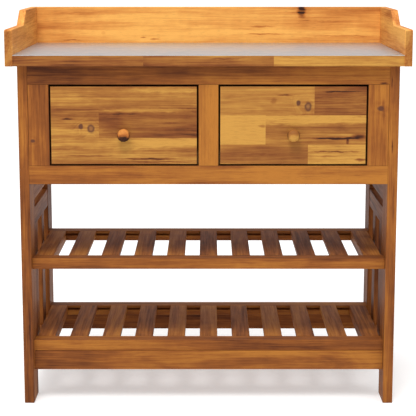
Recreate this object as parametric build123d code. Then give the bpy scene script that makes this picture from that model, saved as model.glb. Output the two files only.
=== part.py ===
from build123d import *
import os

# Potting bench. Millimetres, +Z up, the front faces -Y, X runs along the bench.
# The origin is on the floor, in the middle of the overall length and depth.

# Overall size
width = 800.0
depth = 400.0
height = 800.0

# Leg frame
leg_outer_x = 380.0
leg_thick = 20.0
leg_wide = 68.0
frame_front_y = -175.0
frame_rear_y = 185.0
leg_top_z = 698.0
edge_ease = 1.5
foot_chamfer = 1.0
joint_deep = 8.0

# Worktop, its metal sheet, and the boards that stand up round it
worktop_half_x = 385.0
worktop_front_y = -197.0
worktop_thick = 21.0
sheet_thick = 1.0
cheek_low_top_z = 770.0
cheek_rise_start_y = -28.0
cheek_rise_end_y = 16.0
cheek_nose_radius = 6.0
cheek_rise_radius = 10.0
cheek_pick_slack = 1.0

# Front face frame round the two drawers
face_thick = 20.0
face_rail_tall = 38.0
drawer_opening_tall = 163.0
drawer_opening_wide = 298.0
centre_stile_half_x = 20.0
stile_tenon_thick = 8.0
stile_tenon_long = 12.0
stile_tenon_shoulder = 4.5

# Ends of the bench, between the front and the rear legs
side_rail_thick = 18.0
side_panel_thick = 12.0
side_slat_thick = 10.0
side_tongue_thick = 6.0
side_rail_tall = 38.0
side_rail_gap = 16.0
side_lower_rail_z = 360.0
side_slat_wide = 43.0
side_slat_front_y = (-71.0, 38.0)
side_tenon_shoulder = 6.0
cleat_size = 20.0

# Slatted shelves
shelf_top_z = {"upper": 301.5, "lower": 128.5}
shelf_rail_thick = 22.0
shelf_rail_wide = 32.0
shelf_front_y = -155.0
shelf_rear_y = 150.0
shelf_half_x = 357.5
slat_wide = 37.0
slat_thick = 10.0
slat_tongue_thick = 5.0
slat_tongue_shoulder = 3.0
slats_per_shelf = 9

# Long stretchers under the lower shelf
stretcher_tall = 40.0
stretcher_thick = 20.0
front_stretcher_y = -157.0
rear_stretcher_y = 144.0

# Drawer runners, guides, battens and stops
runner_top_z = 498.0
runner_thick = 18.0
runner_tenon_long = 5.0
outer_runner_inner_x = 300.0
centre_runner_half_x = 40.0
guide_tall = 20.0
guide_wide = 20.0
batten_thick = 6.0
batten_tall = 19.5
batten_top_z = 499.5
stop_size = (40.0, 15.0)
stop_bottom_z = 636.0
drawer_travel = 250.0

# Drawers
drawer_centre_x = 169.0
front_wide = 292.0
front_bottom_z = 500.0
front_top_z = 656.5
box_wide = 289.0
box_tall = 150.0
box_clearance = 0.3
rear_clearance = 0.5
board_thick = 12.0
bottom_thick = 4.0
bottom_rise = 7.7
groove_deep = 5.0
back_drop = 8.0
back_housing = 4.0

# Knobs
knob_z = 560.0
knob_reach = 24.0
knob_radius = 13.0
knob_neck_radius = 6.5
knob_foot_radius = 8.0
knob_waist_share = 0.30
knob_rim_share = 0.62
knob_foot_lean = -0.4
knob_screw_long = 32.0
knob_screw_radius = 2.0
knob_screw_head = (4.0, 2.5)

# Fasteners
bolt_long = 50.0
bolt_radius = 3.0
bolt_head_radius = 5.0
bolt_head_tall = 4.0
bolt_key_radius = 2.3
bolt_key_deep = 2.5
screw_long = 35.0
screw_radius = 2.0
screw_head_radius = 4.0
screw_head_tall = 2.4
screw_point = 4.0
screw_cross = (4.2, 0.9, 1.3)
cheek_screw_y = (-150.0, 0.0, 150.0)
cheek_rear_screw_z = (735.0, 780.0)
cleat_screw_y = (-70.0, 80.0)
back_screw_x = (100.0, 300.0)

# Places that follow from the sizes above
leg_inner_x = leg_outer_x - leg_thick
front_leg_rear_y = frame_front_y + leg_wide
rear_leg_front_y = frame_rear_y - leg_wide
face_rear_y = frame_front_y + face_thick
apron_front_y = frame_rear_y - face_thick
worktop_top_z = leg_top_z + worktop_thick
cheek_thick = width / 2 - worktop_half_x
rear_y = depth / 2
opening_top_z = leg_top_z - face_rail_tall
opening_bottom_z = opening_top_z - drawer_opening_tall
face_bottom_z = opening_bottom_z - face_rail_tall
opening_outer_x = centre_stile_half_x + drawer_opening_wide
side_middle_x = leg_outer_x - leg_thick / 2
side_panel_inner_x = side_middle_x - side_panel_thick / 2
shelf_front_inner_y = shelf_front_y + shelf_rail_wide
shelf_rear_inner_y = shelf_rear_y - shelf_rail_wide
stretcher_top_z = shelf_top_z["lower"] - shelf_rail_thick
stretcher_bottom_z = stretcher_top_z - stretcher_tall
runner_bottom_z = runner_top_z - runner_thick
box_bottom_z = runner_top_z + box_clearance
box_top_z = box_bottom_z + box_tall
box_inner_x = drawer_centre_x - box_wide / 2
box_outer_x = drawer_centre_x + box_wide / 2
box_rear_y = apron_front_y - rear_clearance
bottom_z = box_bottom_z + bottom_rise


def block(x0, x1, y0, y1, z0, z1):
    middle = Pos((x0 + x1) / 2, (y0 + y1) / 2, (z0 + z1) / 2)
    return middle * Box(x1 - x0, y1 - y0, z1 - z0)


def board(x0, x1, y0, y1, z0, z1, along):
    # A planed board whose four edges along one axis are eased.
    plain = block(x0, x1, y0, y1, z0, z1)
    return fillet(plain.edges().filter_by(along), edge_ease)


def mirrored(shape):
    return mirror(shape, about=Plane.YZ)


def mirrored_node(node):
    if isinstance(node, list):
        return [mirrored(piece) for piece in node]
    return mirrored(node)


# Fasteners, each drawn along +Z with the top of its head at the origin.


def bolt_body():
    head = Pos(0, 0, bolt_head_tall / 2) * Cylinder(bolt_head_radius, bolt_head_tall)
    shank_long = bolt_long - bolt_head_tall
    shank = Pos(0, 0, bolt_head_tall + shank_long / 2) * Cylinder(bolt_radius, shank_long)
    return head + shank


def bolt():
    key = extrude(RegularPolygon(bolt_key_radius, 6), bolt_key_deep)
    return bolt_body() - key


def screw_body():
    outline = Polyline(
        (0, 0),
        (screw_head_radius, 0),
        (screw_radius, screw_head_tall),
        (screw_radius, screw_long - screw_point),
        (0, screw_long),
        (0, 0),
    )
    profile = make_face(Plane.XZ * outline)
    return revolve(profile, Axis.Z)


def screw():
    long, wide, deep = screw_cross
    recess = Pos(0, 0, deep / 2) * Box(long, wide, deep)
    return screw_body() - recess - Rot(0, 0, 90) * recess


def driven_left(x, y, z):
    # Enters a face at x and runs towards -X.
    return Location((x, y, z), (0, -90, 0))


def driven_up(x, y, z):
    return Location((x, y, z))


def driven_forward(x, y, z):
    # Enters a rear face at y and runs towards -Y.
    return Location((x, y, z), (90, 0, 0))


def placed(shape, places):
    return [place * shape for place in places]


def bolt_places():
    # The bolts of the right-hand pair of legs.
    face_y = (frame_front_y + face_rear_y) / 2
    apron_y = (apron_front_y + frame_rear_y) / 2
    shelf_y = (shelf_front_y + shelf_front_inner_y) / 2
    shelf_back_y = (shelf_rear_y + shelf_rear_inner_y) / 2
    stretcher_z = (stretcher_top_z + stretcher_bottom_z) / 2
    points = [
        (face_y, opening_top_z + face_rail_tall / 2),
        (face_y, face_bottom_z + face_rail_tall / 2),
        (apron_y, opening_top_z),
        (apron_y, opening_bottom_z),
        (front_stretcher_y + stretcher_thick / 2, stretcher_z),
        (rear_stretcher_y + stretcher_thick / 2, stretcher_z),
    ]
    for top_z in shelf_top_z.values():
        points.append((shelf_y, top_z - shelf_rail_thick / 2))
        points.append((shelf_back_y, top_z - shelf_rail_thick / 2))
    return [driven_left(leg_outer_x, y, z) for y, z in points]


def screw_places():
    # The countersunk screws of the right-hand half.
    edge_z = leg_top_z + worktop_thick / 2
    back_y = (frame_rear_y + rear_y) / 2
    cleat_x = side_panel_inner_x - cleat_size / 2
    runner_x = (outer_runner_inner_x + leg_inner_x) / 2
    runner_z = (runner_top_z + runner_bottom_z) / 2
    places = [driven_left(width / 2, y, edge_z) for y in cheek_screw_y]
    places += [driven_left(width / 2, back_y, z) for z in cheek_rear_screw_z]
    places += [driven_up(cleat_x, y, leg_top_z - cleat_size) for y in cleat_screw_y]
    places += [driven_forward(x, rear_y, edge_z) for x in back_screw_x]
    places.append(driven_forward(runner_x, frame_rear_y, runner_z))
    return places


def centre_screw_place():
    return driven_forward(0, frame_rear_y, (runner_top_z + runner_bottom_z) / 2)


bolt_holes = placed(bolt_body(), bolt_places())
screw_holes = placed(screw_body(), screw_places())
centre_screw_hole = centre_screw_place() * screw_body()
holes_right = bolt_holes + screw_holes
holes_both = holes_right + [mirrored(hole) for hole in holes_right] + [centre_screw_hole]


# Ends of the bench


def side_bar(thick, y0, y1, z0, z1):
    # A block centred on the thickness of the legs.
    return block(side_middle_x - thick / 2, side_middle_x + thick / 2, y0, y1, z0, z1)


def side_board(thick, y0, y1, z0, z1, along):
    plain = side_bar(thick, y0, y1, z0, z1)
    return fillet(plain.edges().filter_by(along), edge_ease)


def side_tongue(z0, z1):
    # The tongue on both ends of a side piece, and the mortises it fills.
    y0 = front_leg_rear_y - joint_deep
    y1 = rear_leg_front_y + joint_deep
    return side_bar(side_tongue_thick, y0, y1, z0 + joint_deep, z1 - joint_deep)


def side_piece(thick, z0, z1):
    body = side_board(thick, front_leg_rear_y, rear_leg_front_y, z0, z1, Axis.Y)
    return body + side_tongue(z0, z1)


def side_members():
    # Panel, upper rail, lower rail and bottom stretcher as (thickness, bottom, top).
    lower_z = side_lower_rail_z
    upper_z = lower_z + side_rail_tall + side_rail_gap
    panel_z = upper_z + side_rail_tall + side_rail_gap
    return [
        (side_panel_thick, panel_z, leg_top_z),
        (side_rail_thick, upper_z, upper_z + side_rail_tall),
        (side_rail_thick, lower_z, lower_z + side_rail_tall),
        (side_rail_thick, stretcher_bottom_z, stretcher_top_z),
    ]


def side_slat(y0):
    y1 = y0 + side_slat_wide
    z0 = stretcher_top_z
    z1 = side_lower_rail_z
    body = side_board(side_slat_thick, y0, y1, z0, z1, Axis.Z)
    inset = side_tenon_shoulder
    tenon = side_bar(side_tongue_thick, y0 + inset, y1 - inset, z0 - joint_deep, z1 + joint_deep)
    return body + tenon


def leg(y0):
    post = block(leg_inner_x, leg_outer_x, y0, y0 + leg_wide, 0, leg_top_z)
    post = fillet(post.edges().filter_by(Axis.Z), edge_ease)
    post = chamfer(post.faces().sort_by(Axis.Z)[0].edges(), foot_chamfer)
    for _, z0, z1 in side_members():
        post -= side_tongue(z0, z1)
    for hole in bolt_holes:
        post -= hole
    return post


def cleat():
    x1 = side_panel_inner_x
    y0 = front_leg_rear_y
    y1 = rear_leg_front_y
    strip = board(x1 - cleat_size, x1, y0, y1, leg_top_z - cleat_size, leg_top_z, Axis.Y)
    for hole in screw_holes:
        strip -= hole
    return strip


# Front face frame and back apron


def stile_tenons(x0, x1):
    y = (frame_front_y + face_rear_y) / 2
    y0 = y - stile_tenon_thick / 2
    z0 = opening_bottom_z - stile_tenon_long
    z1 = opening_top_z + stile_tenon_long
    inset = stile_tenon_shoulder
    return block(x0 + inset, x1 - inset, y0, y0 + stile_tenon_thick, z0, z1)


def stile(x0, x1):
    body = board(x0, x1, frame_front_y, face_rear_y, opening_bottom_z, opening_top_z, Axis.Z)
    return body + stile_tenons(x0, x1)


def all_stile_tenons():
    outer = stile_tenons(opening_outer_x, leg_inner_x)
    centre = stile_tenons(-centre_stile_half_x, centre_stile_half_x)
    return [outer, mirrored(outer), centre]


def runner_tenon(x0, x1):
    z = (runner_top_z + runner_bottom_z) / 2
    z0 = z - stile_tenon_thick / 2
    y0 = face_rear_y - runner_tenon_long
    return block(x0 + joint_deep, x1 - joint_deep, y0, face_rear_y, z0, z0 + stile_tenon_thick)


def all_runner_tenons():
    outer = runner_tenon(outer_runner_inner_x, leg_inner_x)
    centre = runner_tenon(-centre_runner_half_x, centre_runner_half_x)
    return [outer, mirrored(outer), centre]


def face_rail(z0):
    rail = board(-leg_inner_x, leg_inner_x, frame_front_y, face_rear_y, z0, z0 + face_rail_tall, Axis.X)
    for cut in all_stile_tenons() + all_runner_tenons() + holes_both:
        rail -= cut
    return rail


def back_apron():
    x = leg_inner_x
    panel = board(-x, x, apron_front_y, frame_rear_y, face_bottom_z, leg_top_z, Axis.X)
    for hole in holes_both:
        panel -= hole
    return panel


def stretcher(y0):
    x = leg_inner_x
    rail = board(-x, x, y0, y0 + stretcher_thick, stretcher_bottom_z, stretcher_top_z, Axis.X)
    for hole in holes_both:
        rail -= hole
    return rail


# Worktop


def worktop_board():
    x = worktop_half_x
    top = block(-x, x, worktop_front_y, frame_rear_y, leg_top_z, worktop_top_z)
    lower_front = top.edges().filter_by(Axis.X).group_by(Axis.Y)[0].sort_by(Axis.Z)[0]
    top = fillet(lower_front, edge_ease)
    for hole in holes_both:
        top -= hole
    return top


def worktop_sheet():
    x = worktop_half_x
    return block(-x, x, worktop_front_y, frame_rear_y, worktop_top_z, worktop_top_z + sheet_thick)


def cheek():
    outline = Polyline(
        (-rear_y, leg_top_z),
        (rear_y, leg_top_z),
        (rear_y, height),
        (cheek_rise_end_y, height),
        (cheek_rise_start_y, cheek_low_top_z),
        (-rear_y, cheek_low_top_z),
        (-rear_y, leg_top_z),
    )
    profile = make_face(Plane.YZ * outline)
    corners = profile.vertices().sort_by(Axis.Y)
    nose = corners[0:2].sort_by(Axis.Z)[-1]
    profile = fillet(nose, cheek_nose_radius)
    bends = profile.vertices().sort_by(Axis.Y)
    slack = cheek_pick_slack
    bends = [v for v in bends if cheek_rise_start_y - slack < v.Y < cheek_rise_end_y + slack]
    profile = fillet(bends, cheek_rise_radius)
    side = Pos(worktop_half_x, 0, 0) * extrude(profile, cheek_thick, dir=(1, 0, 0))
    rims = side.edges().filter_by(Plane.YZ).sort_by(Axis.Z)
    rims = [e for e in rims if e.center().Z > leg_top_z + slack]
    rims = [e for e in rims if abs(e.center().Y - rear_y) > slack]
    side = fillet(rims, edge_ease)
    for hole in screw_holes:
        side -= hole
    return side


def back_board():
    x = worktop_half_x
    panel = board(-x, x, frame_rear_y, rear_y, leg_top_z, height, Axis.X)
    for hole in holes_both:
        panel -= hole
    return panel


# Shelves


def shelf_groove(top_z):
    # The groove runs along both long rails and takes the tongues of the slats.
    z1 = top_z - slat_thick + slat_tongue_thick
    y0 = shelf_front_inner_y - joint_deep
    y1 = shelf_rear_inner_y + joint_deep
    return block(-leg_inner_x, leg_inner_x, y0, y1, top_z - slat_thick, z1)


def shelf_rail(top_z, y0):
    x = leg_inner_x
    rail = board(-x, x, y0, y0 + shelf_rail_wide, top_z - shelf_rail_thick, top_z, Axis.X)
    rail -= shelf_groove(top_z)
    for hole in holes_both:
        rail -= hole
    return rail


def shelf_slat(top_z, x0, thick):
    x1 = x0 + slat_wide
    y0 = shelf_front_inner_y
    y1 = shelf_rear_inner_y
    body = board(x0, x1, y0, y1, top_z - thick, top_z, Axis.Y)
    z0 = top_z - slat_thick
    inset = slat_tongue_shoulder
    tongue = block(x0 + inset, x1 - inset, y0 - joint_deep, y1 + joint_deep, z0, z0 + slat_tongue_thick)
    return body + tongue


def shelf_slats(top_z):
    members = slats_per_shelf + 2
    pitch = (2 * shelf_half_x - slat_wide) / (members - 1)
    starts = [-shelf_half_x + pitch * (i + 1) for i in range(slats_per_shelf)]
    return [shelf_slat(top_z, x0, slat_thick) for x0 in starts]


def shelf_ends(top_z):
    right = shelf_slat(top_z, shelf_half_x - slat_wide, shelf_rail_thick)
    return [right, mirrored(right)]


# Drawer runners, guides, battens and stops


def runner(x0, x1):
    strip = board(x0, x1, face_rear_y, apron_front_y, runner_bottom_z, runner_top_z, Axis.Y)
    strip += runner_tenon(x0, x1)
    for hole in screw_holes + [centre_screw_hole]:
        strip -= hole
    return strip


def guide(x0, x1):
    return board(x0, x1, face_rear_y, apron_front_y, runner_top_z, runner_top_z + guide_tall, Axis.Y)


def drawer_battens():
    # Strips behind the bottom rail that close the gap under each drawer front.
    y1 = face_rear_y + batten_thick
    z0 = batten_top_z - batten_tall
    right = block(centre_runner_half_x, outer_runner_inner_x, face_rear_y, y1, z0, batten_top_z)
    return [right, mirrored(right)]


def drawer_stop():
    # At full travel the drawer's back comes up against this block.
    wide, thick = stop_size
    y1 = box_rear_y - board_thick - drawer_travel - rear_clearance
    x0 = drawer_centre_x - wide / 2
    return board(x0, x0 + wide, y1 - thick, y1, stop_bottom_z, leg_top_z, Axis.Z)


# Drawers, drawn on the right-hand side


def drawer_bottom_panel():
    x0 = box_inner_x + board_thick - groove_deep
    x1 = box_outer_x - board_thick + groove_deep
    y0 = face_rear_y - groove_deep
    return block(x0, x1, y0, box_rear_y, bottom_z, bottom_z + bottom_thick)


def drawer_back():
    x0 = box_inner_x + board_thick - back_housing
    x1 = box_outer_x - board_thick + back_housing
    y0 = box_rear_y - board_thick
    z0 = bottom_z + bottom_thick
    return block(x0, x1, y0, box_rear_y, z0, box_top_z - back_drop)


def drawer_side(x0):
    body = board(x0, x0 + board_thick, face_rear_y, box_rear_y, box_bottom_z, box_top_z, Axis.Y)
    tongue = side_front_tongue(x0)
    return body + tongue - drawer_bottom_panel() - drawer_back()


def side_front_tongue(x0):
    z0 = front_bottom_z + groove_deep
    z1 = box_top_z - groove_deep
    return block(x0, x0 + board_thick, face_rear_y - groove_deep, face_rear_y, z0, z1)


def knob_screw_body():
    head_radius, head_tall = knob_screw_head
    head = Pos(0, 0, -head_tall / 2) * Cylinder(head_radius, head_tall)
    shank = Pos(0, 0, knob_screw_long / 2) * Cylinder(knob_screw_radius, knob_screw_long)
    return head + shank


def knob_screw_place():
    return driven_forward(drawer_centre_x, face_rear_y, knob_z)


def knob_screw():
    long, wide, deep = screw_cross
    head_top = -knob_screw_head[1]
    recess = Pos(0, 0, head_top + deep / 2) * Box(long, wide, deep)
    return knob_screw_place() * (knob_screw_body() - recess - Rot(0, 0, 90) * recess)


def drawer_front():
    x0 = drawer_centre_x - front_wide / 2
    x1 = drawer_centre_x + front_wide / 2
    panel = block(x0, x1, frame_front_y, face_rear_y, front_bottom_z, front_top_z)
    panel = fillet(panel.faces().sort_by(Axis.Y)[0].edges(), edge_ease)
    panel -= side_front_tongue(box_inner_x)
    panel -= side_front_tongue(box_outer_x - board_thick)
    panel -= drawer_bottom_panel()
    panel -= knob_screw_place() * knob_screw_body()
    return panel


def knob():
    # A turned knob: a small foot, a waist, and a domed head.
    waist = (knob_neck_radius, knob_reach * knob_waist_share)
    rim = (knob_radius, knob_reach * knob_rim_share)
    outline = Line((0, 0), (knob_foot_radius, 0))
    outline += Spline((knob_foot_radius, 0), waist, tangents=((knob_foot_lean, 1), (0, 1)))
    outline += Spline(waist, rim, tangents=((0, 1), (0, 1)))
    outline += Spline(rim, (0, knob_reach), tangents=((0, 1), (-1, 0)))
    outline += Line((0, knob_reach), (0, 0))
    profile = make_face(Plane.XZ * outline)
    turned = revolve(profile, Axis.Z)
    place = driven_forward(drawer_centre_x, frame_front_y, knob_z)
    return place * turned - knob_screw_place() * knob_screw_body()


def worktop_nodes():
    nodes = {}
    nodes["worktop_board"] = worktop_board()
    nodes["worktop_sheet"] = worktop_sheet()
    nodes["back_board"] = back_board()
    nodes["cheek_right"] = cheek()
    return nodes


def frame_nodes():
    nodes = {}
    nodes["front_leg_right"] = leg(frame_front_y)
    nodes["rear_leg_right"] = leg(rear_leg_front_y)
    nodes["front_rail_top"] = face_rail(opening_top_z)
    nodes["front_rail_bottom"] = face_rail(face_bottom_z)
    nodes["front_stile_right"] = stile(opening_outer_x, leg_inner_x)
    nodes["front_stile_centre"] = stile(-centre_stile_half_x, centre_stile_half_x)
    nodes["back_apron"] = back_apron()
    nodes["front_stretcher"] = stretcher(front_stretcher_y)
    nodes["rear_stretcher"] = stretcher(rear_stretcher_y)
    return nodes


def side_nodes():
    panel, upper, lower, bottom = [side_piece(*member) for member in side_members()]
    slats = [side_slat(y) for y in side_slat_front_y]
    for slat in slats:
        lower -= slat
        bottom -= slat
    nodes = {}
    nodes["side_panel_right"] = panel
    nodes["side_rails_right"] = [upper, lower]
    nodes["side_stretcher_right"] = bottom
    nodes["side_slats_right"] = slats
    nodes["top_cleat_right"] = cleat()
    return nodes


def shelf_nodes():
    nodes = {}
    for level, top_z in shelf_top_z.items():
        name = level + "_shelf"
        nodes[name + "_front_rail"] = shelf_rail(top_z, shelf_front_y)
        nodes[name + "_rear_rail"] = shelf_rail(top_z, shelf_rear_inner_y)
        nodes[name + "_slats"] = shelf_slats(top_z)
        nodes[name + "_ends"] = shelf_ends(top_z)
    return nodes


def runner_nodes():
    outer_guide_x = drawer_centre_x + box_wide / 2 + rear_clearance
    inner_guide_x = drawer_centre_x - box_wide / 2 - rear_clearance
    nodes = {}
    nodes["drawer_runner_right"] = runner(outer_runner_inner_x, leg_inner_x)
    nodes["drawer_runner_centre"] = runner(-centre_runner_half_x, centre_runner_half_x)
    nodes["drawer_guide_right"] = guide(outer_guide_x, outer_guide_x + guide_wide)
    nodes["drawer_guide_centre"] = guide(-inner_guide_x, inner_guide_x)
    nodes["drawer_stop_right"] = drawer_stop()
    nodes["drawer_battens"] = drawer_battens()
    return nodes


def drawer_nodes():
    nodes = {}
    nodes["drawer_front_right"] = drawer_front()
    nodes["drawer_inner_side_right"] = drawer_side(box_inner_x)
    nodes["drawer_outer_side_right"] = drawer_side(box_outer_x - board_thick)
    nodes["drawer_back_right"] = drawer_back()
    nodes["drawer_bottom_right"] = drawer_bottom_panel()
    nodes["drawer_knob_right"] = knob()
    nodes["drawer_knob_screw_right"] = knob_screw()
    return nodes


def fastener_nodes():
    bolts = placed(bolt(), bolt_places())
    screws = placed(screw(), screw_places())
    bolts += [mirrored(item) for item in bolts]
    screws += [mirrored(item) for item in screws]
    screws.append(centre_screw_place() * screw())
    nodes = {}
    nodes["frame_bolts"] = bolts
    nodes["assembly_screws"] = screws
    return nodes


def all_nodes():
    # A node of several pieces is a list, and any other node is one solid.
    nodes = {}
    nodes.update(worktop_nodes())
    nodes.update(frame_nodes())
    nodes.update(side_nodes())
    nodes.update(shelf_nodes())
    nodes.update(runner_nodes())
    nodes.update(drawer_nodes())
    nodes.update(fastener_nodes())
    for name in list(nodes):
        if name.endswith("_right"):
            nodes[name.replace("_right", "_left")] = mirrored_node(nodes[name])
    return nodes


os.makedirs("parts", exist_ok=True)
for name, node in all_nodes().items():
    shape = Compound(children=node) if isinstance(node, list) else node
    export_step(shape, "parts/" + name + ".step")
    print(name, [round(v, 1) for v in shape.bounding_box().size])
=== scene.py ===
import bmesh
import bpy
import math
import random
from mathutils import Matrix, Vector, noise


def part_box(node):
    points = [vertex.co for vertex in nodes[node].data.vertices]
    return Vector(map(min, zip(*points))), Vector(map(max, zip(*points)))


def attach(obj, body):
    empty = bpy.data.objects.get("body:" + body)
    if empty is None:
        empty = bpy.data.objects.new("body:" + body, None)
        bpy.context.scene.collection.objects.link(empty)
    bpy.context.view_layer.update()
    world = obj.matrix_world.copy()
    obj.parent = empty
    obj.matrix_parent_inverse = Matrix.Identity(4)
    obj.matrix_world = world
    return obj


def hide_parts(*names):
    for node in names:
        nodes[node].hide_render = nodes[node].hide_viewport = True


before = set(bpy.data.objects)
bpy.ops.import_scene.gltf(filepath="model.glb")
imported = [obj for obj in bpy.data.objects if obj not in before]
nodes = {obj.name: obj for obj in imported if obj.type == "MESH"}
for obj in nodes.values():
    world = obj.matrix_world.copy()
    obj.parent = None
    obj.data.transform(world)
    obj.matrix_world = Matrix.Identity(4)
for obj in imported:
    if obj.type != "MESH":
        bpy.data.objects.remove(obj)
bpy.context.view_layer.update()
print("frame loaded:", len(nodes), "nodes")


# colours are given as 0-255 screen values and turned into linear ones
def colour(red, green, blue):
    def linear(value):
        value = value / 255
        return value / 12.92 if value <= 0.04045 else ((value + 0.055) / 1.055) ** 2.4
    return (linear(red), linear(green), linear(blue), 1.0)


# puts a new mesh, lamp or camera into the scene
def placeObject(name, data):
    made = bpy.data.objects.new(name, data)
    bpy.context.scene.collection.objects.link(made)
    return made


# a finished, smooth mesh from work in progress
def meshFrom(work, name):
    bmesh.ops.recalc_face_normals(work, faces=work.faces[:])
    mesh = bpy.data.meshes.new(name)
    work.to_mesh(mesh)
    work.free()
    mesh.shade_smooth()
    return mesh


# small helper for building a material's nodes
class NodeSheet:
    def __init__(self, name):
        self.material = bpy.data.materials.new(name)
        self.material.use_nodes = True
        self.tree = self.material.node_tree
        self.tree.nodes.clear()
        self.shader = self.node("ShaderNodeBsdfPrincipled")
        output = self.node("ShaderNodeOutputMaterial")
        self.join(self.shader.outputs["BSDF"], output.inputs["Surface"])

    def node(self, kind, **settings):
        made = self.tree.nodes.new(kind)
        for key, value in settings.items():
            setattr(made, key, value)
        return made

    def join(self, source, target):
        if isinstance(source, (int, float, tuple)):
            target.default_value = source
        else:
            self.tree.links.new(source, target)

    def maths(self, operation, first, second=0.0, third=0.0):
        made = self.node("ShaderNodeMath", operation=operation)
        self.join(first, made.inputs[0])
        self.join(second, made.inputs[1])
        self.join(third, made.inputs[2])
        return made.outputs[0]

    # noise runs from 0 to 1, and this makes it run either side of 0
    def centred(self, value):
        return self.maths("SUBTRACT", value, 0.5)

    def combine(self, x, y, z):
        made = self.node("ShaderNodeCombineXYZ")
        for socket, value in zip(made.inputs, (x, y, z)):
            self.join(value, socket)
        return made.outputs[0]

    def separate(self, vector):
        made = self.node("ShaderNodeSeparateXYZ")
        self.join(vector, made.inputs[0])
        return list(made.outputs)

    def noiseAt(self, vector, scale=1.0, detail=2.0, roughness=0.5):
        made = self.node("ShaderNodeTexNoise")
        self.join(vector, made.inputs["Vector"])
        self.join(scale, made.inputs["Scale"])
        self.join(detail, made.inputs["Detail"])
        self.join(roughness, made.inputs["Roughness"])
        return made

    def spread(self, value, low, high, toLow=0.0, toHigh=1.0):
        made = self.node("ShaderNodeMapRange", clamp=True, interpolation_type="SMOOTHSTEP")
        for key, number in (("Value", value), ("From Min", low), ("From Max", high),
                            ("To Min", toLow), ("To Max", toHigh)):
            self.join(number, made.inputs[key])
        return made.outputs["Result"]

    def blendColour(self, factor, first, second):
        made = self.node("ShaderNodeMix", data_type="RGBA")
        self.join(factor, made.inputs["Factor"])
        self.join(first, made.inputs[6])  # 6, 7 and output 2 are the colour sockets
        self.join(second, made.inputs[7])
        return made.outputs[2]

    def ellipse(self, spot, middle, halves):
        # distance from a middle, 1 on the rim of an ellipse
        shifted = self.node("ShaderNodeVectorMath", operation="SUBTRACT")
        self.join(spot, shifted.inputs[0])
        self.join((middle[0], middle[1], 0.0), shifted.inputs[1])
        shrunk = self.node("ShaderNodeVectorMath", operation="MULTIPLY")
        self.join(shifted.outputs[0], shrunk.inputs[0])
        self.join((1 / halves[0], 1 / halves[1], 0.0), shrunk.inputs[1])
        far = self.node("ShaderNodeVectorMath", operation="LENGTH")
        self.join(shrunk.outputs[0], far.inputs[0])
        return far.outputs["Value"]

    def bump(self, height, strength, distance):
        made = self.node("ShaderNodeBump")
        made.inputs["Strength"].default_value = strength
        made.inputs["Distance"].default_value = distance
        self.join(height, made.inputs["Height"])
        self.join(made.outputs["Normal"], self.shader.inputs["Normal"])


# wood: everything a user may want to change about the timber
wood = {
    "golden": {"light": (230, 167, 84), "body": (206, 135, 64), "deep": (170, 98, 42)},
    "honey": {"light": (186, 136, 62), "body": (150, 97, 43), "deep": (118, 65, 30)},
    "oiled": {"light": (167, 106, 41), "body": (135, 77, 31), "deep": (96, 50, 22)},
    "raw": {"light": (205, 166, 116), "body": (182, 140, 92), "deep": (146, 104, 62)},
    "streak": (52, 25, 15),
    "knot": (74, 38, 32),
    "knotHeart": (128, 84, 50),
    "smallKnot": 0.005,     # radius in metres
    "knotStretch": 1.25,    # how much wider a knot is across the grain
    "knotRagged": 0.5,
    "knotBend": 2.2,        # how far the rings bend round a knot, in radii
    "knotBendEnds": 4.5,
    "knotHeartEdge": (0.80, 1.25),
    "knotRingEdge": (0.70, 1.45),
    "knotRingStart": (0.20, 0.90),
    "knotStrength": 0.75,
    "markEdge": (0.35, 1.35),
    "markRagged": 0.9,
    # colour and strength of the painted shade on faces that look into the drawer gaps
    "gap": (30, 15, 9),
    "gapPaintedShade": 0.62,
    "shares": {"patch": 1.7, "rings": 1.5, "figure": 0.35, "lines": 1.3, "fibres": 0.5},
    "sway": 0.05,           # how far the grain wanders, in metres
    "ripple": 0.006,        # how ragged knots and marks are, in metres
    "heart": (0.0, 0.06),   # middle of the log, from the middle of the board
    "blockShift": 0.10,     # how far it moves from slat to slat
    "poreShade": 0.30,
    "endGrainShade": 0.45,
    "stops": (0.0, 0.36, 0.70, 1.0),
    "shadeScale": 0.70,
    "rings": 110.0,         # all counts are per metre
    "ringDrift": (1.1, 0.6),
    "swayRates": (2.4, 9.0),  # along the grain and across it, as are the rest
    "rippleRates": (55.0, 160.0),
    "patchRates": (2.0, 20.0),
    "figureRates": (38.0, 34.0),
    "lineRates": (9.0, 260.0),
    "fibreRates": (18.0, 900.0),
    "poreRates": (60.0, 2300.0),
    "poreEdge": (0.60, 0.72),
    "boardPlaces": (2, 9),  # where in the log a board is cut, in metres
    "boardJump": 7.0,
    "endGrainTurn": (0.6, 0.9),
    "rimTurn": (0.5, 0.85),
    "gloss": 0.58,
    "lineGloss": 0.3,       # how far the lines and the end grain change it
    "endGrainGloss": 0.25,
    "shine": 0.14,
    "relief": {"lines": 0.5, "fibres": 0.4, "pores": -0.5},
    "reliefStrength": 0.5,
    "reliefMetres": 0.0003,
}


# a colour ramp through a palette: 0 is the lightest wood, 0.5 its usual shade, 1 the deepest
def shadeWood(sheet, depth, palette):
    ramp = sheet.node("ShaderNodeValToRGB")
    shades = (wood[palette]["light"], wood[palette]["body"], wood[palette]["deep"], wood["streak"])
    while len(ramp.color_ramp.elements) < len(shades):
        ramp.color_ramp.elements.new(0.5)
    for element, place, shade in zip(ramp.color_ramp.elements, wood["stops"], shades):
        element.position = place
        element.color = colour(*shade)
    sheet.join(sheet.maths("MULTIPLY", depth, wood["shadeScale"]), ramp.inputs[0])
    return ramp.outputs[0]


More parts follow.
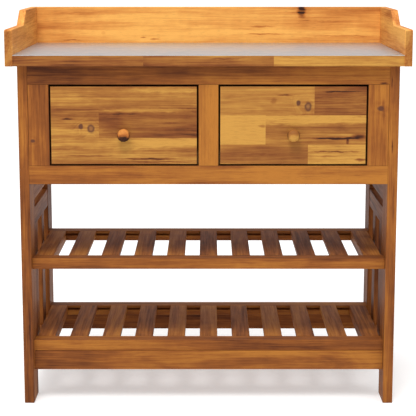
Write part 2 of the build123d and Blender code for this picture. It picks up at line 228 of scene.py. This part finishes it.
# grain, across and middle say how the board lies; marks are (along, across, half length,
# half width, how much deeper) and knots are (along, across, radius)
def woodMaterial(name, grain, across, middle, palette="oiled", tone=0.5, seed=1.0, slope=0.0,
                 knots=(), marks=(), contrast=1.0, cell=None, variety=0.5, rim=""):
    sheet = NodeSheet(name)
    dice = random.Random(round(seed * 1000))
    place = sheet.node("ShaderNodeTexCoord")
    spot = dict(zip("xyz", sheet.separate(place.outputs["Object"])))
    facing = dict(zip("xyz", sheet.separate(place.outputs["Normal"])))
    through = "xyz".replace(grain, "").replace(across, "")
    parts = [spot[grain], spot[across], spot[through]]
    chance = None
    if cell:
        start, pitch = cell
        offset = sheet.maths("SUBTRACT", spot["x"], start)
        number = sheet.maths("FLOOR", sheet.maths("DIVIDE", offset, pitch))
        chance = sheet.node("ShaderNodeTexWhiteNoise", noise_dimensions="1D")
        sheet.join(sheet.maths("ADD", number, seed), chance.inputs["W"])
        jumps = sheet.separate(chance.outputs["Color"])
        moved = [sheet.maths("MULTIPLY_ADD", jump, wood["boardJump"], part)
                 for jump, part in zip(jumps, parts)]
    else:
        moved = [sheet.maths("ADD", part, dice.uniform(*wood["boardPlaces"])) for part in parts]

    def noiseField(alongRate, acrossRate, detail, roughness=0.5):
        rates = (alongRate, acrossRate, acrossRate)
        scaled = [sheet.maths("MULTIPLY", part, rate) for part, rate in zip(moved, rates)]
        return sheet.noiseAt(sheet.combine(*scaled), detail=detail, roughness=roughness)

    # the grain wanders slowly from side to side
    sway = sheet.separate(noiseField(*wood["swayRates"], 2.0).outputs["Color"])
    bent = [sheet.maths("MULTIPLY_ADD", sheet.centred(push), wood["sway"], part)
            for push, part in zip(sway, parts[1:])]
    side = sheet.maths("ADD", bent[0], wood["heart"][0] - middle[1])
    deep = sheet.maths("ADD", bent[1], wood["heart"][1] - middle[2])
    if chance is not None:
        side = sheet.maths("MULTIPLY_ADD", jumps[1], wood["blockShift"], side)
        deep = sheet.maths("MULTIPLY_ADD", jumps[2], wood["blockShift"], deep)
    squared = sheet.maths("MULTIPLY", deep, deep)
    radius = sheet.maths("SQRT", sheet.maths("MULTIPLY_ADD", side, side, squared))
    # small ripples for the rims of marks and knots
    ripple = sheet.separate(noiseField(*wood["rippleRates"], 2.0).outputs["Color"])
    ragged = sheet.maths("MULTIPLY_ADD", sheet.centred(ripple[0]), wood["ripple"], parts[1])
    face = sheet.combine(parts[0], ragged, 0.0)
    knotShades = []
    for along, aside, size in knots:
        away = sheet.ellipse(face, (along, aside), (size, size * wood["knotStretch"]))
        away = sheet.maths("MULTIPLY_ADD", sheet.centred(ripple[1]), wood["knotRagged"], away)
        bend = sheet.spread(away, 0.0, wood["knotBendEnds"], size * wood["knotBend"], 0.0)
        radius = sheet.maths("ADD", radius, bend)
        # a knot is a brown heart inside a soft dark ring, and a small one is dark all over
        inner = sheet.spread(away, *wood["knotHeartEdge"], wood["knotStrength"], 0.0)
        ring = sheet.spread(away, *wood["knotRingEdge"], wood["knotStrength"], 0.0)
        if size > wood["smallKnot"]:
            ring = sheet.maths("MULTIPLY", sheet.spread(away, *wood["knotRingStart"]), ring)
        knotShades.append((inner, ring))
    alongDrift, deepDrift = wood["ringDrift"]
    ringSpot = sheet.combine(sheet.maths("MULTIPLY", radius, wood["rings"]),
                             sheet.maths("MULTIPLY", moved[0], alongDrift),
                             sheet.maths("MULTIPLY", moved[2], deepDrift))
    rings = sheet.noiseAt(ringSpot, detail=4.0, roughness=0.6).outputs["Fac"]
    patch = noiseField(*wood["patchRates"], 2.0).outputs["Fac"]
    figure = noiseField(*wood["figureRates"], 2.0).outputs["Fac"]
    lines = noiseField(*wood["lineRates"], 3.0, 0.62).outputs["Fac"]
    fibres = noiseField(*wood["fibreRates"], 2.0, 0.6).outputs["Fac"]
    pores = sheet.spread(noiseField(*wood["poreRates"], 1.0).outputs["Fac"], *wood["poreEdge"])
    # how deep the shade is here
    fields = {"patch": patch, "rings": rings, "figure": figure, "lines": lines, "fibres": fibres}
    depth = tone - 0.5 * contrast * sum(wood["shares"].values())
    if slope:
        depth = sheet.maths("MULTIPLY_ADD", parts[0], slope, depth)
    for key, share in wood["shares"].items():
        depth = sheet.maths("MULTIPLY_ADD", fields[key], share * contrast, depth)
    if chance is not None:
        swing = sheet.centred(chance.outputs["Value"])
        depth = sheet.maths("MULTIPLY_ADD", swing, variety, depth)
    for along, aside, halfLong, halfWide, deeper in marks:
        away = sheet.ellipse(face, (along, aside), (halfLong, halfWide))
        away = sheet.maths("MULTIPLY_ADD", sheet.centred(ripple[2]), wood["markRagged"], away)
        depth = sheet.maths("ADD", depth, sheet.spread(away, *wood["markEdge"], deeper, 0.0))
    paint = shadeWood(sheet, depth, palette)
    poreShade = sheet.maths("MULTIPLY", pores, wood["poreShade"])
    paint = sheet.blendColour(poreShade, paint, colour(*wood["streak"]))
    for inner, ring in knotShades:
        paint = sheet.blendColour(inner, paint, colour(*wood["knotHeart"]))
        paint = sheet.blendColour(ring, paint, colour(*wood["knot"]))
    # end grain drinks more oil and reads darker
    endGrain = sheet.spread(sheet.maths("ABSOLUTE", facing[grain]), *wood["endGrainTurn"])
    endShade = sheet.maths("MULTIPLY", endGrain, wood["endGrainShade"])
    paint = sheet.blendColour(endShade, paint, colour(*wood["streak"]))
    # faces that look into the gap round a drawer get painted shade, dark as a deep gap would be
    for axis in rim:
        turned = sheet.maths("ABSOLUTE", facing[axis])
        paintedGapShade = sheet.spread(turned, *wood["rimTurn"], 0.0, wood["gapPaintedShade"])
        paint = sheet.blendColour(paintedGapShade, paint, colour(*wood["gap"]))
    sheet.join(paint, sheet.shader.inputs["Base Color"])
    gloss = sheet.maths("MULTIPLY_ADD", lines, wood["lineGloss"], wood["gloss"] - wood["lineGloss"] / 2)
    gloss = sheet.maths("MULTIPLY_ADD", endGrain, wood["endGrainGloss"], gloss)
    sheet.join(gloss, sheet.shader.inputs["Roughness"])
    sheet.shader.inputs["Specular IOR Level"].default_value = wood["shine"]
    relief = wood["relief"]
    height = sheet.maths("MULTIPLY", fibres, relief["fibres"])
    height = sheet.maths("MULTIPLY_ADD", lines, relief["lines"], height)
    height = sheet.maths("MULTIPLY_ADD", pores, relief["pores"], height)
    sheet.bump(height, wood["reliefStrength"], wood["reliefMetres"])
    return sheet.material


def clothe(piece, material):
    piece.data.materials.clear()
    piece.data.materials.append(material)
    for face in piece.data.polygons:
        face.material_index = 0


# grain runs along the longest side of a board, and across is the wider of the other two
def boardLie(low, high, grain=None, across=None):
    sizes = {axis: high[i] - low[i] for i, axis in enumerate("xyz")}
    order = sorted(sizes, key=sizes.get, reverse=True)
    grain = grain or order[0]
    across = across or [axis for axis in order if axis != grain][0]
    through = "xyz".replace(grain, "").replace(across, "")
    middle = [(low["xyz".index(axis)] + high["xyz".index(axis)]) / 2 for axis in (grain, across, through)]
    return grain, across, middle


# finish of each board; a name stands for every node that starts with it
boardLooks = {
    # slope darkens the front legs towards the floor: painted shade where less light reaches
    "front_leg_left": {"across": "x", "tone": 0.50, "slope": -0.12,
                       "marks": [(0.16, -0.366, 0.05, 0.002, 0.3)]},
    "front_leg_right": {"across": "x", "tone": 0.56, "slope": -0.25, "marks": [
        (0.533, 0.368, 0.014, 0.0018, 0.8), (0.666, 0.364, 0.012, 0.002, 0.5),
        (0.42, 0.372, 0.06, 0.002, 0.3)]},
    # the rear legs' deeper tone is painted shade, as they stand in the bench's shade
    "rear_leg": {"tone": 0.70},
    # rim paints shade onto the rail and stile faces that look into the drawer gaps; the top rail's deeper
    # tone is partly its own wood and partly painted shade under the worktop's overhang
    "front_rail_top": {"tone": 0.72, "slope": -0.6, "rim": "z",
                       "marks": [(0.349, 0.6625, 0.008, 0.0022, 0.9)]},
    "front_rail_bottom": {"tone": 0.33, "slope": -0.55, "rim": "z"},
    "front_stile_left": {"tone": 0.34, "rim": "x", "knots": [(0.547, -0.351, 0.003)]},
    "front_stile_centre": {"tone": 0.20, "contrast": 0.6, "rim": "x"},
    "front_stile_right": {"tone": 0.36, "rim": "x", "knots": [(0.6123, 0.3435, 0.0045)],
                          "marks": [(0.6123, 0.349, 0.022, 0.004, 0.4)]},
    "back_apron": {"tone": 0.42, "grain": "x", "contrast": 0.8},
    "front_stretcher": {"tone": 0.58},
    "rear_stretcher": {"tone": 0.55},
    # the side panel, rails and slats get a deeper tone as painted shade, where the sides stand in shade
    "side_panel": {"tone": 0.6, "grain": "y"},
    "side_rails": {"tone": 0.6, "grain": "y"},
    "side_stretcher": {"tone": 0.5, "grain": "y"},
    "side_slats": {"tone": 0.58, "grain": "z", "across": "y"},
    "top_cleat": {"tone": 0.5, "grain": "y"},
    "worktop_board": {"palette": "honey", "tone": 0.50, "slope": -0.55, "grain": "x", "across": "z",
                      "segments": 3, "variety": 0.2, "marks": [
                          (0.03, 0.713, 0.03, 0.002, 0.6), (0.0, 0.7085, 0.13, 0.03, -0.10),
                          (0.29, 0.7085, 0.11, 0.03, 0.08)]},
    "back_board": {"palette": "golden", "tone": 0.36, "contrast": 0.9, "marks": [
        (0.0, 0.776, 0.6, 0.010, -0.25), (0.05, 0.744, 0.5, 0.006, -0.2),
        (0.12, 0.7567, 0.028, 0.0024, 0.55), (0.12, 0.7397, 0.045, 0.0017, 0.85),
        (-0.147, 0.7319, 0.007, 0.0016, 0.9), (-0.12, 0.7278, 0.013, 0.0018, 0.9),
        (-0.307, 0.7264, 0.022, 0.0016, 0.6), (-0.236, 0.7418, 0.006, 0.004, 0.4),
        (0.30, 0.75, 0.12, 0.05, 0.28), (-0.25, 0.786, 0.10, 0.004, 0.35),
        (0.208, 0.790, 0.010, 0.015, 0.75), (0.208, 0.790, 0.022, 0.026, 0.25),
        (0.27, 0.768, 0.06, 0.0015, 0.4), (0.31, 0.735, 0.07, 0.0016, 0.4)]},
    "cheek": {"palette": "golden", "tone": 0.5, "grain": "y"},
    "upper_shelf_front_rail": {"tone": 0.53, "grain": "x", "across": "z"},
    "upper_shelf_rear_rail": {"tone": 0.55, "grain": "x", "across": "z"},
    "lower_shelf_front_rail": {"tone": 0.5, "grain": "x", "across": "z"},
    "lower_shelf_rear_rail": {"tone": 0.55, "grain": "x", "across": "z"},
    "upper_shelf_slats": {"grain": "y", "across": "x", "tone": 0.46, "slats": 9},
    "lower_shelf_slats": {"grain": "y", "across": "x", "tone": 0.39, "slats": 9},
    "upper_shelf_ends": {"grain": "y", "across": "x", "tone": 0.4, "slats": 2},
    "lower_shelf_ends": {"grain": "y", "across": "x", "tone": 0.4, "slats": 2},
    "drawer_inner_side": {"palette": "raw", "grain": "y", "tone": 0.4, "contrast": 0.5},
    "drawer_outer_side": {"palette": "raw", "grain": "y", "tone": 0.4, "contrast": 0.5},
    "drawer_back": {"palette": "raw", "grain": "x", "tone": 0.4, "contrast": 0.5},
    "drawer_bottom": {"palette": "raw", "grain": "x", "tone": 0.3, "contrast": 0.4},
    "drawer_runner": {"palette": "raw", "grain": "y", "tone": 0.5, "contrast": 0.5},
    "drawer_guide": {"palette": "raw", "grain": "y", "tone": 0.5, "contrast": 0.5},
    # the battens' deep tone and rim are painted shade, keeping the drawer gaps dark
    "drawer_battens": {"grain": "x", "tone": 0.7, "rim": "yz"},
    "drawer_stop": {"palette": "raw", "grain": "z", "tone": 0.5, "contrast": 0.5},
}


# shades of grouped slats, as shares of the distance from one slat to the next
slatSpacing = {
    "gap": 0.45,
    "lead": 0.2,
}


def lookFor(name):
    for start in sorted(boardLooks, key=len, reverse=True):
        if name.startswith(start):
            return dict(boardLooks[start])
    return None


def finishBoards():
    # a board draws its grain from its place in this list, where the pair of battens counts twice
    places = sorted(list(nodes) + ["drawer_battens"])
    for name in sorted(nodes):
        number = places.index(name)
        look = lookFor(name)
        if look is None:
            continue
        low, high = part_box(name)
        grain, across, middle = boardLie(low, high, look.pop("grain", None), look.pop("across", None))
        slats = look.pop("slats", 0)
        segments = look.pop("segments", 0)
        cell = None
        if slats:
            # one shade for each slat of the group, counted along the bench
            pitch = (high[0] - low[0]) / (slats - slatSpacing["gap"])
            cell = (low[0] - pitch * slatSpacing["lead"], pitch)
        if segments:
            cell = (low[0], (high[0] - low[0]) / segments)
        made = woodMaterial(name + "Wood", grain, across, middle, seed=number + 1.5, cell=cell, **look)
        clothe(nodes[name], made)
    print("boards finished")


# glued block fronts: rows from the bottom up as (top, blocks), and a block as (right end, its look)
drawerFront = {
    "ease": 0.0015,
    "sharpAngle": 40,
    "left": [
        (0.5535, [(-0.023, {"tone": 0.50, "marks": [
            (-0.17, 0.544, 0.30, 0.013, -0.46), (-0.118, 0.511, 0.050, 0.0024, 0.95),
            (-0.10, 0.5055, 0.07, 0.0018, 0.6), (-0.24, 0.517, 0.05, 0.0018, 0.35)]})]),
        (0.6140, [
            (-0.219, {"tone": 0.43, "knots": [(-0.2345, 0.5715, 0.0066), (-0.2549, 0.5755, 0.0040)],
                      "marks": [(-0.281, 0.5917, 0.013, 0.0018, 0.8), (-0.265, 0.575, 0.02, 0.004, 0.25)]}),
            (-0.023, {"tone": 0.70, "marks": [
                (-0.12, 0.6095, 0.12, 0.0052, -0.62), (-0.17, 0.6015, 0.035, 0.0012, 0.25),
                (-0.07, 0.583, 0.03, 0.0014, 0.4), (-0.204, 0.584, 0.035, 0.018, 0.32)]})]),
        (0.6565, [(-0.023, {"tone": 0.66, "marks": [
            (-0.06, 0.6500, 0.10, 0.0075, -0.52), (-0.22, 0.637, 0.05, 0.006, 0.2)]})]),
    ],
    "right": [
        (0.5400, [
            (0.199, {"tone": 0.64, "contrast": 0.8, "marks": [(0.09, 0.52, 0.05, 0.002, 0.25)]}),
            (0.315, {"tone": 0.22, "marks": [
                (0.255, 0.5255, 0.050, 0.0014, 0.95), (0.305, 0.509, 0.012, 0.003, 0.8),
                (0.235, 0.516, 0.03, 0.0012, 0.35)]})]),
        (0.5987, [
            (0.114, {"tone": 0.10, "contrast": 0.7, "marks": [(0.108, 0.5769, 0.008, 0.004, 0.5)]}),
            (0.315, {"tone": 0.61, "marks": [
                (0.22, 0.5905, 0.20, 0.0105, -0.66), (0.262, 0.5525, 0.054, 0.0028, 0.95),
                (0.302, 0.557, 0.016, 0.0035, 0.9), (0.278, 0.5465, 0.0032, 0.007, 0.7)]})]),
        (0.6565, [
            (0.211, {"tone": 0.54, "contrast": 0.8,
                     "knots": [(0.1981, 0.6163, 0.0064), (0.1791, 0.623, 0.0040)],
                     "marks": [(0.151, 0.6393, 0.015, 0.0017, 0.8), (0.13, 0.628, 0.006, 0.007, 0.3)]}),
            (0.315, {"tone": 0.82, "marks": [
                (0.27, 0.6462, 0.045, 0.0014, 0.6), (0.25, 0.635, 0.05, 0.0012, 0.35)]})]),
    ],
}


def blockPanel(name, node, rows):
    low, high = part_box(node)
    size = [h - l for l, h in zip(low, high)]
    mesh = bpy.data.meshes.new(name)
    work = bmesh.new()
    bmesh.ops.create_cube(work, size=1.0)
    for corner in work.verts:
        corner.co = Vector([l + (c + 0.5) * s for l, c, s in zip(low, corner.co, size)])
    front = [e for e in work.edges if all(v.co.y < low[1] + 1e-5 for v in e.verts)]
    bmesh.ops.bevel(work, geom=front, offset=drawerFront["ease"], segments=4, profile=0.5,
                    affect="EDGES")
    # cut at the glue lines, rows first, and give each block its own wood
    blocks = []
    bottom = low[2]
    for top, row in rows:
        everything = work.verts[:] + work.edges[:] + work.faces[:]
        bmesh.ops.bisect_plane(work, geom=everything, plane_co=(0, 0, top), plane_no=(0, 0, 1))
        left = low[0]
        for right, look in row:
            level = [f for f in work.faces if bottom < f.calc_center_median().z < top]
            parts = list({v for f in level for v in f.verts}) + list({e for f in level for e in f.edges})
            bmesh.ops.bisect_plane(work, geom=parts + level, plane_co=(right, 0, 0), plane_no=(1, 0, 0))
            blocks.append((left, right, bottom, top))
            grain, across, middle = boardLie((left, low[1], bottom), (right, high[1], top), "x", "z")
            # rim paints shade onto the block faces that look into the gap round the drawer
            made = woodMaterial(f"{name}Block{len(blocks)}", grain, across, middle, palette="honey",
                                seed=len(blocks) * 3.1 + low[0], rim="xz", **look)
            mesh.materials.append(made)
            left = right
        bottom = top
    for face in work.faces:
        middle = face.calc_center_median()
        for number, (left, right, bottom, top) in enumerate(blocks):
            if left <= middle.x <= right and bottom <= middle.z <= top:
                face.material_index = number
    bmesh.ops.recalc_face_normals(work, faces=work.faces[:])
    work.to_mesh(mesh)
    work.free()
    mesh.shade_smooth()
    mesh.set_sharp_from_angle(angle=math.radians(drawerFront["sharpAngle"]))
    return placeObject(name, mesh)


def makeDrawerFronts():
    for side in ("left", "right"):
        node = "drawer_front_" + side
        piece = blockPanel("glued_front_" + side, node, drawerFront[side])
        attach(piece, "drawer_" + side)
        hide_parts(node)
    print("drawer fronts made")


# turned knobs: (share of the head's radius, share of the reach), from the drawer outwards
knobShape = {
    "turns": 48,
    "profile": [(0.0, 0.0), (0.62, 0.0), (0.63, 0.03), (0.57, 0.08), (0.51, 0.14), (0.53, 0.21),
                (0.68, 0.27), (0.86, 0.35), (0.965, 0.45), (1.0, 0.56), (0.975, 0.68), (0.90, 0.79),
                (0.76, 0.885), (0.57, 0.95), (0.36, 0.985), (0.16, 0.998), (0.0, 1.0)],
    # the left knob's mark darkens its lower half: painted shade under the knob's dome
    "left": {"palette": "golden", "tone": 0.62, "seed": 2.0, "contrast": 0.35,
             "marks": [(-0.169, 0.5465, 0.030, 0.0190, 0.90)]},
    "right": {"palette": "honey", "tone": 0.56, "seed": 6.0, "contrast": 0.35,
              "marks": [(0.169, 0.5535, 0.016, 0.0085, -0.5)]},
}


def makeKnobs():
    for side in ("left", "right"):
        node = "drawer_knob_" + side
        low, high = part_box(node)
        centre = (Vector(low) + Vector(high)) / 2
        radius = (high[0] - low[0]) / 2
        reach = high[1] - low[1]
        work = bmesh.new()
        loops = []
        for share, out in knobShape["profile"]:
            y = high[1] - out * reach
            if share == 0.0:
                loops.append([work.verts.new((centre.x, y, centre.z))])
                continue
            ring = []
            for step in range(knobShape["turns"]):
                angle = 2 * math.pi * step / knobShape["turns"]
                ring.append(work.verts.new((centre.x + math.cos(angle) * radius * share, y,
                                            centre.z + math.sin(angle) * radius * share)))
            loops.append(ring)
        for first, second in zip(loops, loops[1:]):
            for step in range(knobShape["turns"]):
                after = (step + 1) % knobShape["turns"]
                if len(first) == 1:
                    work.faces.new((first[0], second[step], second[after]))
                elif len(second) == 1:
                    work.faces.new((first[step], second[0], first[after]))
                else:
                    work.faces.new((first[step], second[step], second[after], first[after]))
        mesh = meshFrom(work, "turned_knob_" + side)
        piece = placeObject("turned_knob_" + side, mesh)
        smooth = piece.modifiers.new("smooth", "SUBSURF")
        smooth.levels = smooth.render_levels = 1
        grain, across, middle = boardLie(low, high, "x", "z")
        clothe(piece, woodMaterial("knobWood" + side.title(), grain, across, middle, **knobShape[side]))
        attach(piece, "drawer_" + side)
        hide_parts(node)
    print("knobs made")


# galvanised sheet on the worktop
metalTop = {
    "zinc": (212, 214, 216),
    "dull": (178, 180, 182),
    "spanglesPerMetre": 55.0,
    "roughness": 0.34,
    "wave": 0.00012,
    "waveRates": (7, 9),
    "waveSeed": 3.1,
    "cellsAcross": 64,
    "cellsDeep": 32,
    "sharpAngle": 30,
}

# the zinc on the sheet and on the fasteners
zincFinish = {
    "crystalShare": 0.35,
    "cloudShare": 0.65,
    "cloudScale": 6.0,
    "cloudDetail": 4.0,
    "roughnessSwing": 0.14,
    "scratchRates": (30.0, 900.0, 30.0),
    "scratchStrength": 0.15,
    "scratchDepth": 0.0001,
}


def zincMaterial(name, sizePerMetre, roughness, bright, dull):
    sheet = NodeSheet(name)
    spot = sheet.node("ShaderNodeTexCoord").outputs["Object"]
    crystals = sheet.node("ShaderNodeTexVoronoi")
    sheet.join(spot, crystals.inputs["Vector"])
    crystals.inputs["Scale"].default_value = sizePerMetre
    shade = sheet.separate(crystals.outputs["Color"])[0]
    cloud = sheet.noiseAt(spot, zincFinish["cloudScale"], zincFinish["cloudDetail"]).outputs["Fac"]
    clouded = sheet.maths("MULTIPLY", cloud, zincFinish["cloudShare"])
    mixed = sheet.maths("MULTIPLY_ADD", shade, zincFinish["crystalShare"], clouded)
    paint = sheet.blendColour(mixed, colour(*bright), colour(*dull))
    sheet.join(paint, sheet.shader.inputs["Base Color"])
    sheet.shader.inputs["Metallic"].default_value = 1.0
    rough = sheet.maths("MULTIPLY_ADD", mixed, zincFinish["roughnessSwing"], roughness)
    sheet.join(rough, sheet.shader.inputs["Roughness"])
    drawn = [sheet.maths("MULTIPLY", part, rate)
             for part, rate in zip(sheet.separate(spot), zincFinish["scratchRates"])]
    scratches = sheet.noiseAt(sheet.combine(*drawn), detail=3.0).outputs["Fac"]
    sheet.bump(scratches, zincFinish["scratchStrength"], zincFinish["scratchDepth"])
    return sheet.material


def makeMetalTop():
    low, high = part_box("worktop_sheet")
    across, deep = metalTop["cellsAcross"], metalTop["cellsDeep"]
    alongRate, deepRate = metalTop["waveRates"]
    work = bmesh.new()
    layers = []
    for level in (low[2], high[2]):
        rows = []
        for j in range(deep + 1):
            row = []
            for i in range(across + 1):
                x = low[0] + (high[0] - low[0]) * i / across
                y = low[1] + (high[1] - low[1]) * j / deep
                inside = 0 < i < across and 0 < j < deep
                z = level
                if level == high[2] and inside:
                    ripple = noise.noise((x * alongRate, y * deepRate, metalTop["waveSeed"]))
                    z -= metalTop["wave"] * (1 + ripple)
                row.append(work.verts.new((x, y, z)))
            rows.append(row)
        layers.append(rows)
    for rows in layers:
        for j in range(deep):
            for i in range(across):
                work.faces.new((rows[j][i], rows[j][i + 1], rows[j + 1][i + 1], rows[j + 1][i]))
    bottom, top = layers
    for i in range(across):
        for j in (0, deep):
            work.faces.new((bottom[j][i], bottom[j][i + 1], top[j][i + 1], top[j][i]))
    for j in range(deep):
        for i in (0, across):
            work.faces.new((bottom[j][i], bottom[j + 1][i], top[j + 1][i], top[j][i]))
    mesh = meshFrom(work, "zinc_sheet")
    mesh.set_sharp_from_angle(angle=math.radians(metalTop["sharpAngle"]))
    piece = placeObject("zinc_sheet", mesh)
    clothe(piece, zincMaterial("zincSheet", metalTop["spanglesPerMetre"], metalTop["roughness"],
                               metalTop["zinc"], metalTop["dull"]))
    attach(piece, "bench")
    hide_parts("worktop_sheet")
    print("metal top made")


# bolts and screws
fasteners = {
    "zinc": (160, 161, 163),
    "dull": (112, 113, 116),
    "spanglesPerMetre": 400.0,
    "roughness": 0.36,
}


def finishFasteners():
    plated = zincMaterial("zincScrews", fasteners["spanglesPerMetre"], fasteners["roughness"],
                          fasteners["zinc"], fasteners["dull"])
    for name in nodes:
        if name in ("frame_bolts", "assembly_screws") or "knob_screw" in name:
            clothe(nodes[name], plated)
    print("fasteners finished")


# studio
studio = {
    "floorSize": 60.0,
    "floorShade": (214, 214, 214),
    "floorFleck": (196, 196, 196),
    "floorFleckShare": 0.04,
    "floorRoughness": 0.9,
    "floorGlow": 0.42,      # lifts the shadow under the bench
    "background": 1.3,      # how bright the far wall looks
    "front": 0.30,          # soft light from each direction
    "rear": 0.20,
    "above": 1.7,
    "frontToRear": (-0.8, 0.8),
    "keyPower": 62.0,
    "keyPlace": (-0.45, -1.75, 3.0),
    "keyAim": (0, 0, 0.5),
    "keySize": 1.1,
    "cameraPlace": (0.0, -2.755, 0.9077),
    "cameraPitch": 9.44,
    "lens": 112.7,
    "shiftX": -0.00125,
    "shiftY": -0.08,
}


def makeFloor():
    half = studio["floorSize"] / 2
    mesh = bpy.data.meshes.new("floor")
    mesh.from_pydata([(-half, -half, 0), (half, -half, 0), (half, half, 0), (-half, half, 0)],
                     [], [(0, 1, 2, 3)])
    floor = placeObject("floor", mesh)
    sheet = NodeSheet("paleFloor")
    speck = sheet.noiseAt(sheet.node("ShaderNodeTexCoord").outputs["Object"], 3.0, 3.0)
    fleck = sheet.maths("MULTIPLY", speck.outputs["Fac"], studio["floorFleckShare"])
    shade = sheet.blendColour(fleck, colour(*studio["floorShade"]), colour(*studio["floorFleck"]))
    sheet.join(shade, sheet.shader.inputs["Base Color"])
    sheet.shader.inputs["Roughness"].default_value = studio["floorRoughness"]
    sheet.shader.inputs["Emission Color"].default_value = (1.0, 1.0, 1.0, 1.0)
    sheet.shader.inputs["Emission Strength"].default_value = studio["floorGlow"]
    clothe(floor, sheet.material)


def makeSky():
    # soft light, stronger from the front and from above; only the camera sees the bright background
    world = bpy.data.worlds.new("studioSky")
    bpy.context.scene.world = world
    world.use_nodes = True
    tree = world.node_tree
    tree.nodes.clear()
    place = tree.nodes.new("ShaderNodeTexCoord")
    parts = tree.nodes.new("ShaderNodeSeparateXYZ")
    tree.links.new(place.outputs["Generated"], parts.inputs[0])

    def ramp(source, start, end, low, high):
        made = tree.nodes.new("ShaderNodeMapRange")
        for key, number in (("From Min", start), ("From Max", end), ("To Min", low), ("To Max", high)):
            made.inputs[key].default_value = number
        tree.links.new(source, made.inputs["Value"])
        return made.outputs["Result"]

    depthwise = ramp(parts.outputs["Y"], *studio["frontToRear"], studio["front"], studio["rear"])
    upward = ramp(parts.outputs["Z"], 0.0, 1.0, 0.0, studio["above"])
    total = tree.nodes.new("ShaderNodeMath")
    tree.links.new(depthwise, total.inputs[0])
    tree.links.new(upward, total.inputs[1])
    seen = tree.nodes.new("ShaderNodeLightPath")
    choice = tree.nodes.new("ShaderNodeMix")
    choice.inputs["B"].default_value = studio["background"]
    tree.links.new(seen.outputs["Is Camera Ray"], choice.inputs["Factor"])
    tree.links.new(total.outputs[0], choice.inputs["A"])
    sky = tree.nodes.new("ShaderNodeBackground")
    out = tree.nodes.new("ShaderNodeOutputWorld")
    tree.links.new(choice.outputs["Result"], sky.inputs["Strength"])
    tree.links.new(sky.outputs["Background"], out.inputs["Surface"])


def makeKey():
    # one soft light, high up in front
    lamp = bpy.data.lights.new("softKey", "AREA")
    lamp.energy = studio["keyPower"]
    lamp.size = studio["keySize"]
    key = placeObject("softKey", lamp)
    key.location = studio["keyPlace"]
    aim = Vector(studio["keyAim"]) - Vector(studio["keyPlace"])
    key.rotation_euler = aim.to_track_quat("-Z", "Y").to_euler()


def makeCamera():
    lens = bpy.data.cameras.new("camera")
    lens.lens = studio["lens"]
    lens.shift_x = studio["shiftX"]
    lens.shift_y = studio["shiftY"]
    camera = placeObject("camera", lens)
    camera.location = studio["cameraPlace"]
    camera.rotation_euler = (math.radians(90 - studio["cameraPitch"]), 0, 0)
    bpy.context.scene.camera = camera


def makeStudio():
    bpy.context.scene.view_settings.view_transform = "Standard"
    makeFloor()
    makeSky()
    makeKey()
    makeCamera()
    print("studio ready")


makeStudio()
finishBoards()
makeDrawerFronts()
makeKnobs()
makeMetalTop()
finishFasteners()
